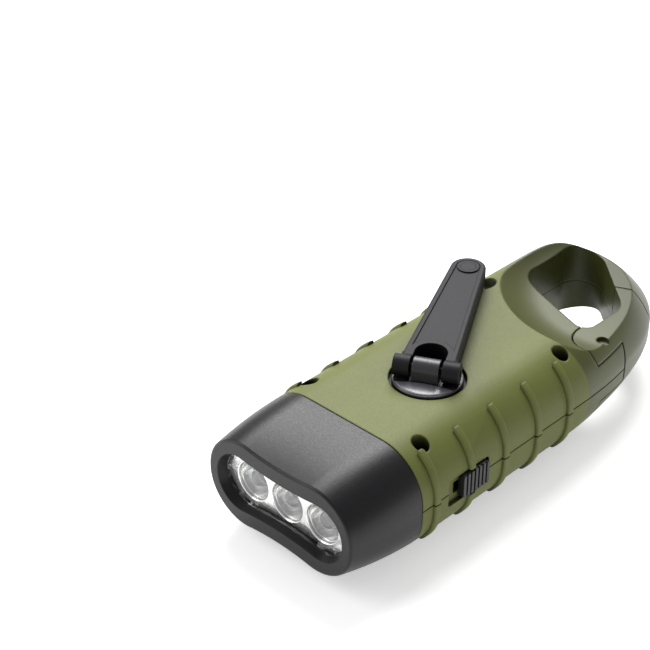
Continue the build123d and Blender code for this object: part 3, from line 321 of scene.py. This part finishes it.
def led_epoxy():
    """Clear epoxy dome, a little milky: bends the chip and cup behind it, with faint casting swirls."""
    material, tree, shader, place = new_material("clear epoxy")
    shader.inputs["Transmission Weight"].default_value = 0.72
    shader.inputs["Base Color"].default_value = linear("F7F8FA")
    shader.inputs["IOR"].default_value = 1.5
    swirl = noise(tree, place, 300.0, 2.0)
    tree.links.new(spread(tree, swirl, 0.02, 0.07), shader.inputs["Roughness"])
    return material


def plated_steel(name, colour, low, high):
    """Plated or turned steel: fine directional marks and an uneven sheen."""
    material, tree, shader, place = new_material(name)
    shader.inputs["Metallic"].default_value = 1.0
    marks = add_node(tree, "ShaderNodeMapping",
                     {"Vector": place, "Scale": (900.0, 900.0, 5000.0)}).outputs["Vector"]
    streak = noise(tree, marks, 1.0, 2.0)
    tree.links.new(spread(tree, streak, low, high), shader.inputs["Roughness"])
    tint = clouded(tree, streak, colour, 0.86, 1.08)
    tree.links.new(tint, shader.inputs["Base Color"])
    bump(tree, shader, streak, 0.00001)
    return material


def solder_mask():
    """Circuit board lacquer: deep green with darker copper runs beneath and a wet gloss."""
    material, tree, shader, place = new_material("green solder mask")
    runs = add_node(tree, "ShaderNodeTexBrick",
                    {"Vector": place, "Scale": 320.0, "Mortar Size": 0.08,
                     "Color1": linear("0F4A26"), "Color2": linear("115230"), "Mortar": linear("1E6E3E")})
    tree.links.new(runs.outputs["Color"], shader.inputs["Base Color"])
    shader.inputs["Roughness"].default_value = 0.28
    bump(tree, shader, runs.outputs["Fac"], 0.00004)
    return material


def enamelled_wire():
    """Copper wire winding: warm metal with the fine parallel ribs of its turns."""
    material, tree, shader, place = new_material("enamelled copper wire")
    shader.inputs["Metallic"].default_value = 1.0
    shader.inputs["Roughness"].default_value = 0.3
    turns = add_node(tree, "ShaderNodeTexWave",
                     {"Vector": place, "Scale": 1100.0, "Distortion": 0.6, "Detail": 1.0},
                     wave_type="BANDS", bands_direction="Z").outputs["Fac"]
    tint = ramp(tree, turns, [(0.2, linear("6E2E14")), (0.8, linear("C8733F"))])
    tree.links.new(tint, shader.inputs["Base Color"])
    bump(tree, shader, turns, 0.00006)
    return material


def phosphor():
    """Phosphor square of a white LED: matt lemon yellow with a fine grain."""
    material, tree, shader, place = new_material("yellow phosphor")
    speck = noise(tree, place, 9000.0, 2.0)
    tint = ramp(tree, speck, [(0.3, linear("CFC04A")), (0.7, linear("EFE27A"))])
    tree.links.new(tint, shader.inputs["Base Color"])
    shader.inputs["Roughness"].default_value = 0.6
    return material


# ---------------------------------------------------------------- dressing

def dress(node, material):
    """Gives a CAD node its material."""
    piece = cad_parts[node]
    piece.data.materials.clear()
    piece.data.materials.append(material)


def deselect():
    """Back to object mode with nothing selected."""
    if bpy.context.object and bpy.context.object.mode != "OBJECT":
        bpy.ops.object.mode_set(mode="OBJECT")
    bpy.ops.object.select_all(action="DESELECT")


def select_faces(piece, chosen):
    """Selects, from object mode, the faces that pass a test, and goes to edit mode."""
    for face in piece.data.polygons:
        face.select = chosen(face)
    bpy.ops.object.mode_set(mode="EDIT")


def settle(piece, name):
    """Names a finished piece and moves its place into its mesh."""
    piece.name = name
    piece.data.name = name
    bpy.ops.object.transform_apply(location=True, rotation=True, scale=True)


class FLASHLIGHT_OT_shells(bpy.types.Operator):
    """Olive plastic for both shells and the gate"""
    bl_idname = "flashlight.shells"
    bl_label = "Body shells and gate"

    def execute(self, context):
        look = context.scene.flashlight_plastics
        olive = shell_plastic(look.olive[:], look.grain)
        for node in ("upper_shell", "lower_shell", "gate"):
            dress(node, olive)
        return {"FINISHED"}


class FLASHLIGHT_OT_head(bpy.types.Operator):
    """Black satin plastic for the lamp head and the switch button"""
    bl_idname = "flashlight.head"
    bl_label = "Lamp head and button"

    def execute(self, context):
        look = context.scene.flashlight_plastics
        black = moulded_plastic("black satin plastic", look.head_black[:], look.grain * 1.2,
                                0.34, 0.44, 0.00002, 0.34)
        dress("lamp_head", black)
        button = moulded_plastic("black button plastic", linear("2C2C2F"), look.grain, 0.4, 0.5, 0.00002, 0.5)
        dress("switch_knob", button)
        return {"FINISHED"}


class FLASHLIGHT_OT_crank(bpy.types.Operator):
    """Charcoal plastics for the crank, dark steel for its hinge pin, and the hub's apron"""
    bl_idname = "flashlight.crank"
    bl_label = "Crank"

    def execute(self, context):
        look = context.scene.flashlight_plastics
        grey = moulded_plastic("charcoal crank plastic", look.crank_grey[:], look.grain,
                               0.46, 0.56, 0.00002, 0.2)
        for node in ("crank_arm", "crank_knob", "knob_rivet"):
            dress(node, grey)
        # Lighter copy of the crank charcoal, painted sheen on the hub's knuckles
        satin = moulded_plastic("satin hub plastic with painted sheen", look.hub_painted_sheen_grey[:], look.grain, 0.34, 0.42, 0.00001, 0.6)
        dress("crank_hub", satin)
        dress("crank_hinge_pin", plated_steel("blackened hinge pin", linear("1A1A1C"), 0.4, 0.55))
        # The apron is polished, and its pale grey base colour is painted sheen as well
        polished = moulded_plastic("polished charcoal plastic with painted sheen", look.painted_sheen_grey[:], look.grain,
                                   0.26, 0.34, 0.00001, 0.9)
        self.make_apron(polished)
        return {"FINISHED"}

    def make_apron(self, material):
        """Low sloped apron on the disc, in front of the hinge."""
        low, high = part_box("crank_hub")
        hub = Vector(((low.x + high.x) / 2, (low.y + high.y) / 2, DISC_TOP))
        deselect()
        bpy.ops.mesh.primitive_cone_add(vertices=96, radius1=APRON_RADIUS, radius2=APRON_CREST,
                                        depth=APRON_RISE, location=hub + Vector((0, 0, APRON_RISE / 2)))
        piece = bpy.context.object
        settle(piece, "hub_apron")
        across = Vector((math.sin(CRANK_ANGLE), -math.cos(CRANK_ANGLE), 0))
        bpy.ops.object.mode_set(mode="EDIT")
        bpy.ops.mesh.select_all(action="SELECT")
        bpy.ops.mesh.bisect(plane_co=hub + across * APRON_FORWARD, plane_no=across,
                            use_fill=True, clear_inner=True)
        bpy.ops.object.mode_set(mode="OBJECT")
        soften = piece.modifiers.new("edges", "BEVEL")
        soften.width = 0.00012
        soften.segments = 2
        bpy.ops.object.modifier_apply(modifier=soften.name)
        bpy.ops.object.shade_smooth_by_angle(angle=math.radians(25))
        piece.data.materials.append(material)
        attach(piece, "crank")


class FLASHLIGHT_OT_optics(bpy.types.Operator):
    """Window, reflector with its cup rims, and LEDs, each with a chip and a lead cup inside"""
    bl_idname = "flashlight.optics"
    bl_label = "Lamp optics"

    def execute(self, context):
        look = context.scene.flashlight_optics
        dress("lens_cover", clear_styrene())
        chrome = metallised_reflector()
        dress("reflector", chrome)
        dress("leds", led_epoxy())
        silver = plated_steel("silvered lead frame", linear("F6F6F6"), 0.3, 0.5)
        yellow = phosphor()
        low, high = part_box("leds")
        pitch = (high.x - low.x - (high.z - low.z)) / 2
        middle = (low + high) / 2
        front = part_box("reflector")[0].y
        for index, name in enumerate(("left", "middle", "right")):
            x = middle.x + (index - 1) * pitch
            self.make_rim(f"cup_rim_{name}", Vector((x, front + RIM_DEPTH, middle.z)),
                          RIM_RADIUS, RIM_THICKNESS, chrome)
            self.make_rim(f"cup_step_{name}", Vector((x, front + STEP_DEPTH, middle.z)),
                          STEP_RADIUS, STEP_THICKNESS, chrome)
            self.make_cup(f"led_cup_{name}", Vector((x, middle.y, middle.z)), look.cup_width, silver)
            self.make_chip(f"led_chip_{name}", Vector((x, middle.y - CHIP_FORWARD, middle.z)),
                           look.chip_width, yellow)
        return {"FINISHED"}

    def make_rim(self, name, place, radius, thickness, material):
        """Rolled rim round the mouth of a reflector cup, flattened towards the window."""
        deselect()
        bpy.ops.mesh.primitive_torus_add(major_segments=96, minor_segments=16, major_radius=radius,
                                         minor_radius=thickness, location=place,
                                         rotation=(math.radians(90), 0, 0))
        piece = bpy.context.object
        settle(piece, name)
        bpy.ops.object.mode_set(mode="EDIT")
        bpy.ops.mesh.select_all(action="SELECT")
        bpy.ops.transform.resize(value=(1, 0.8, 1), center_override=place)
        bpy.ops.object.mode_set(mode="OBJECT")
        bpy.ops.object.shade_smooth()
        piece.data.materials.append(material)
        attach(piece, "case")

    def make_cup(self, name, place, width, material):
        """Dished metal cup on its post, opening forward."""
        deselect()
        bpy.ops.mesh.primitive_cylinder_add(vertices=32, radius=width / 2, depth=0.0012, location=place,
                                            rotation=(math.radians(90), 0, 0))
        piece = bpy.context.object
        settle(piece, name)
        bpy.ops.object.mode_set(mode="EDIT")
        bpy.ops.mesh.select_all(action="DESELECT")
        bpy.ops.object.mode_set(mode="OBJECT")
        select_faces(piece, lambda face: face.normal.y < -0.9)
        bpy.ops.mesh.inset(thickness=width * 0.08)
        bpy.ops.mesh.inset(thickness=width * 0.2, depth=-0.0005)
        bpy.ops.object.mode_set(mode="OBJECT")
        select_faces(piece, lambda face: face.normal.y > 0.9)
        bpy.ops.mesh.inset(thickness=width * 0.3)
        bpy.ops.mesh.extrude_region_move(TRANSFORM_OT_translate={"value": (0, 0.0024, 0)})
        bpy.ops.object.mode_set(mode="OBJECT")
        bpy.ops.object.shade_smooth_by_angle(angle=math.radians(35))
        piece.data.materials.append(material)
        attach(piece, "case")

    def make_chip(self, name, place, width, material):
        """Square phosphor chip with softened edges, on the floor of the cup."""
        deselect()
        bpy.ops.mesh.primitive_cube_add(size=1, location=place, scale=(width * 0.7, 0.00022, width * 0.7))
        piece = bpy.context.object
        settle(piece, name)
        soften = piece.modifiers.new("edges", "BEVEL")
        soften.width = 0.00006
        soften.segments = 3
        bpy.ops.object.modifier_apply(modifier=soften.name)
        bpy.ops.object.shade_smooth_by_angle(angle=math.radians(35))
        piece.data.materials.append(material)
        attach(piece, "case")


class FLASHLIGHT_OT_insides(bpy.types.Operator):
    """Gears, generator, cells, boards, screws and pins"""
    bl_idname = "flashlight.insides"
    bl_label = "Inner parts"

    def execute(self, context):
        grain = context.scene.flashlight_plastics.grain
        steel = plated_steel("zinc plated steel", linear("A9ABAE"), 0.22, 0.4)
        for node in ("gate_pin", "board_screws", "hub_screw", "hub_washer", "idler_axles", "plate_screws",
                     "rotor_shaft"):
            dress(node, steel)
        dark = plated_steel("black zinc screw", linear("26272A"), 0.35, 0.5)
        dress("case_screws", dark)
        dress("loop_screw", dark)
        pressed = plated_steel("pressed pole steel", linear("9A9B9D"), 0.3, 0.45)
        dress("stator_cups", pressed)
        dress("switch_body", pressed)
        nickel = plated_steel("nickel cell case", linear("C9C7C0"), 0.15, 0.28)
        dress("battery_cells", nickel)
        dress("cell_tabs", nickel)
        acetal = moulded_plastic("ivory acetal", linear("E6E1D2"), grain, 0.35, 0.45, 0.00001, 0.5)
        for node in ("drive_gear", "idler_gear_one", "idler_gear_two", "rotor_pinion"):
            dress(node, acetal)
        nylon = moulded_plastic("natural nylon", linear("D9D6CC"), grain, 0.3, 0.4, 0.00001, 0.5)
        dress("gear_plate", nylon)
        dress("coil_bobbin", nylon)
        ferrite = moulded_plastic("sintered ferrite", linear("2B2B2D"), grain * 0.6, 0.55, 0.75, 0.00004, 0.5)
        dress("rotor_magnet", ferrite)
        dress("coil_winding", enamelled_wire())
        board = solder_mask()
        dress("led_board", board)
        dress("control_board", board)
        return {"FINISHED"}


def seen_directly(tree):
    """One for rays from the camera and for those that a mirror or a clear piece turns, else zero."""
    rays = add_node(tree, "ShaderNodeLightPath").outputs
    through = add_node(tree, "ShaderNodeMath", {0: rays["Is Camera Ray"], 1: rays["Is Transmission Ray"]},
                       operation="MAXIMUM").outputs["Value"]
    return add_node(tree, "ShaderNodeMath", {0: through, 1: rays["Is Glossy Ray"]},
                    operation="MAXIMUM").outputs["Value"]


class FLASHLIGHT_OT_studio(bpy.types.Operator):
    """White floor, soft lamps and the camera"""
    bl_idname = "flashlight.studio"
    bl_label = "Studio"

    def execute(self, context):
        look = context.scene.flashlight_studio
        self.make_floor(look.floor_size)
        self.make_world(context, look)
        self.make_lamp("key lamp", KEY_PLACE, KEY_AIM, KEY_SIZE, look.key_power)
        self.make_lamp("fill lamp", FILL_PLACE, FILL_AIM, FILL_SIZE, look.fill_power)
        self.make_camera(context)
        context.scene.view_settings.view_transform = "Standard"
        return {"FINISHED"}

    def make_floor(self, size):
        """White sheet that shows as paper white and still takes the soft shadow."""
        deselect()
        bpy.ops.mesh.primitive_plane_add(size=size, location=(0, 0, 0))
        floor = bpy.context.object
        settle(floor, "floor")
        material, tree = empty_material("white paper sweep")
        place = add_node(tree, "ShaderNodeTexCoord").outputs["Object"]
        fibre = noise(tree, place, 900.0, 2.0)
        paper = ramp(tree, fibre, [(0.3, (0.93, 0.93, 0.93, 1)), (0.7, (0.95, 0.95, 0.95, 1))])
        matt = add_node(tree, "ShaderNodeBsdfDiffuse", {"Color": paper})
        glow = add_node(tree, "ShaderNodeEmission", {"Color": (1, 1, 1, 1), "Strength": 0.47})
        lifted = add_node(tree, "ShaderNodeAddShader", {0: matt.outputs["BSDF"], 1: glow.outputs["Emission"]})
        mix = add_node(tree, "ShaderNodeMixShader",
                       {"Fac": seen_directly(tree), 1: matt.outputs["BSDF"], 2: lifted.outputs["Shader"]})
        add_node(tree, "ShaderNodeOutputMaterial", {"Surface": mix.outputs["Shader"]})
        floor.data.materials.append(material)

    def make_world(self, context, look):
        """Even dim light from all round, white where the camera looks past the floor."""
        world = bpy.data.worlds.new("white studio")
        world.use_nodes = True
        tree = world.node_tree
        tree.nodes.clear()
        rays = add_node(tree, "ShaderNodeLightPath").outputs
        seen = add_node(tree, "ShaderNodeMath", {0: rays["Is Camera Ray"], 1: rays["Is Transmission Ray"]},
                        operation="MAXIMUM").outputs["Value"]
        dim = add_node(tree, "ShaderNodeBackground", {"Color": (1, 1, 1, 1), "Strength": look.sky_level})
        white = add_node(tree, "ShaderNodeBackground", {"Color": (1, 1, 1, 1), "Strength": 1.0})
        mix = add_node(tree, "ShaderNodeMixShader",
                       {"Fac": seen, 1: dim.outputs["Background"], 2: white.outputs["Background"]})
        add_node(tree, "ShaderNodeOutputWorld", {"Surface": mix.outputs["Shader"]})
        context.scene.world = world

    def make_lamp(self, name, place, aim, size, power):
        """Round soft lamp that faces a point."""
        data = bpy.data.lights.new(name, "AREA")
        data.shape = "DISK"
        data.size = size
        data.energy = power
        lamp = bpy.data.objects.new(name, data)
        bpy.context.scene.collection.objects.link(lamp)
        lamp.location = place
        lamp.rotation_euler = (Vector(aim) - Vector(place)).to_track_quat("-Z", "Y").to_euler()

    def make_camera(self, context):
        """Camera above the front right, as in the picture of the object."""
        data = bpy.data.cameras.new("camera")
        data.sensor_width = 36.0
        data.lens = CAMERA_LENS
        data.clip_start = 0.01
        camera = bpy.data.objects.new("camera", data)
        context.scene.collection.objects.link(camera)
        place = Vector(CAMERA_PLACE)
        camera.location = place
        camera.rotation_euler = (Vector(CAMERA_AIM) - place).to_track_quat("-Z", "Y").to_euler()
        context.scene.camera = camera


class FLASHLIGHT_PT_panel(bpy.types.Panel):
    """Settings and steps of the flashlight"""
    bl_idname = "FLASHLIGHT_PT_panel"
    bl_label = "Hand crank flashlight"
    bl_space_type = "VIEW_3D"
    bl_region_type = "UI"
    bl_category = "Flashlight"

    def draw(self, context):
        layout = self.layout
        scene = context.scene
        for group in (scene.flashlight_plastics, scene.flashlight_optics, scene.flashlight_studio):
            box = layout.box()
            for name in group.__annotations__:
                box.prop(group, name)
        for step in STEPS:
            layout.operator(step.bl_idname)


STEPS = (FLASHLIGHT_OT_shells, FLASHLIGHT_OT_head, FLASHLIGHT_OT_crank, FLASHLIGHT_OT_optics,
         FLASHLIGHT_OT_insides, FLASHLIGHT_OT_studio)
CLASSES = (FlashlightPlastics, FlashlightOptics, FlashlightStudio, *STEPS, FLASHLIGHT_PT_panel)


def register():
    for cls in CLASSES:
        bpy.utils.register_class(cls)
    bpy.types.Scene.flashlight_plastics = bpy.props.PointerProperty(type=FlashlightPlastics)
    bpy.types.Scene.flashlight_optics = bpy.props.PointerProperty(type=FlashlightOptics)
    bpy.types.Scene.flashlight_studio = bpy.props.PointerProperty(type=FlashlightStudio)


def unregister():
    del bpy.types.Scene.flashlight_studio
    del bpy.types.Scene.flashlight_optics
    del bpy.types.Scene.flashlight_plastics
    for cls in reversed(CLASSES):
        bpy.utils.unregister_class(cls)


def main():
    """Dresses the whole flashlight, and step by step."""
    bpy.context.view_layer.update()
    register()
    bpy.ops.flashlight.shells()
    bpy.ops.flashlight.head()
    bpy.ops.flashlight.crank()
    bpy.ops.flashlight.optics()
    bpy.ops.flashlight.insides()
    bpy.ops.flashlight.studio()


if __name__ == "__main__":
    main()
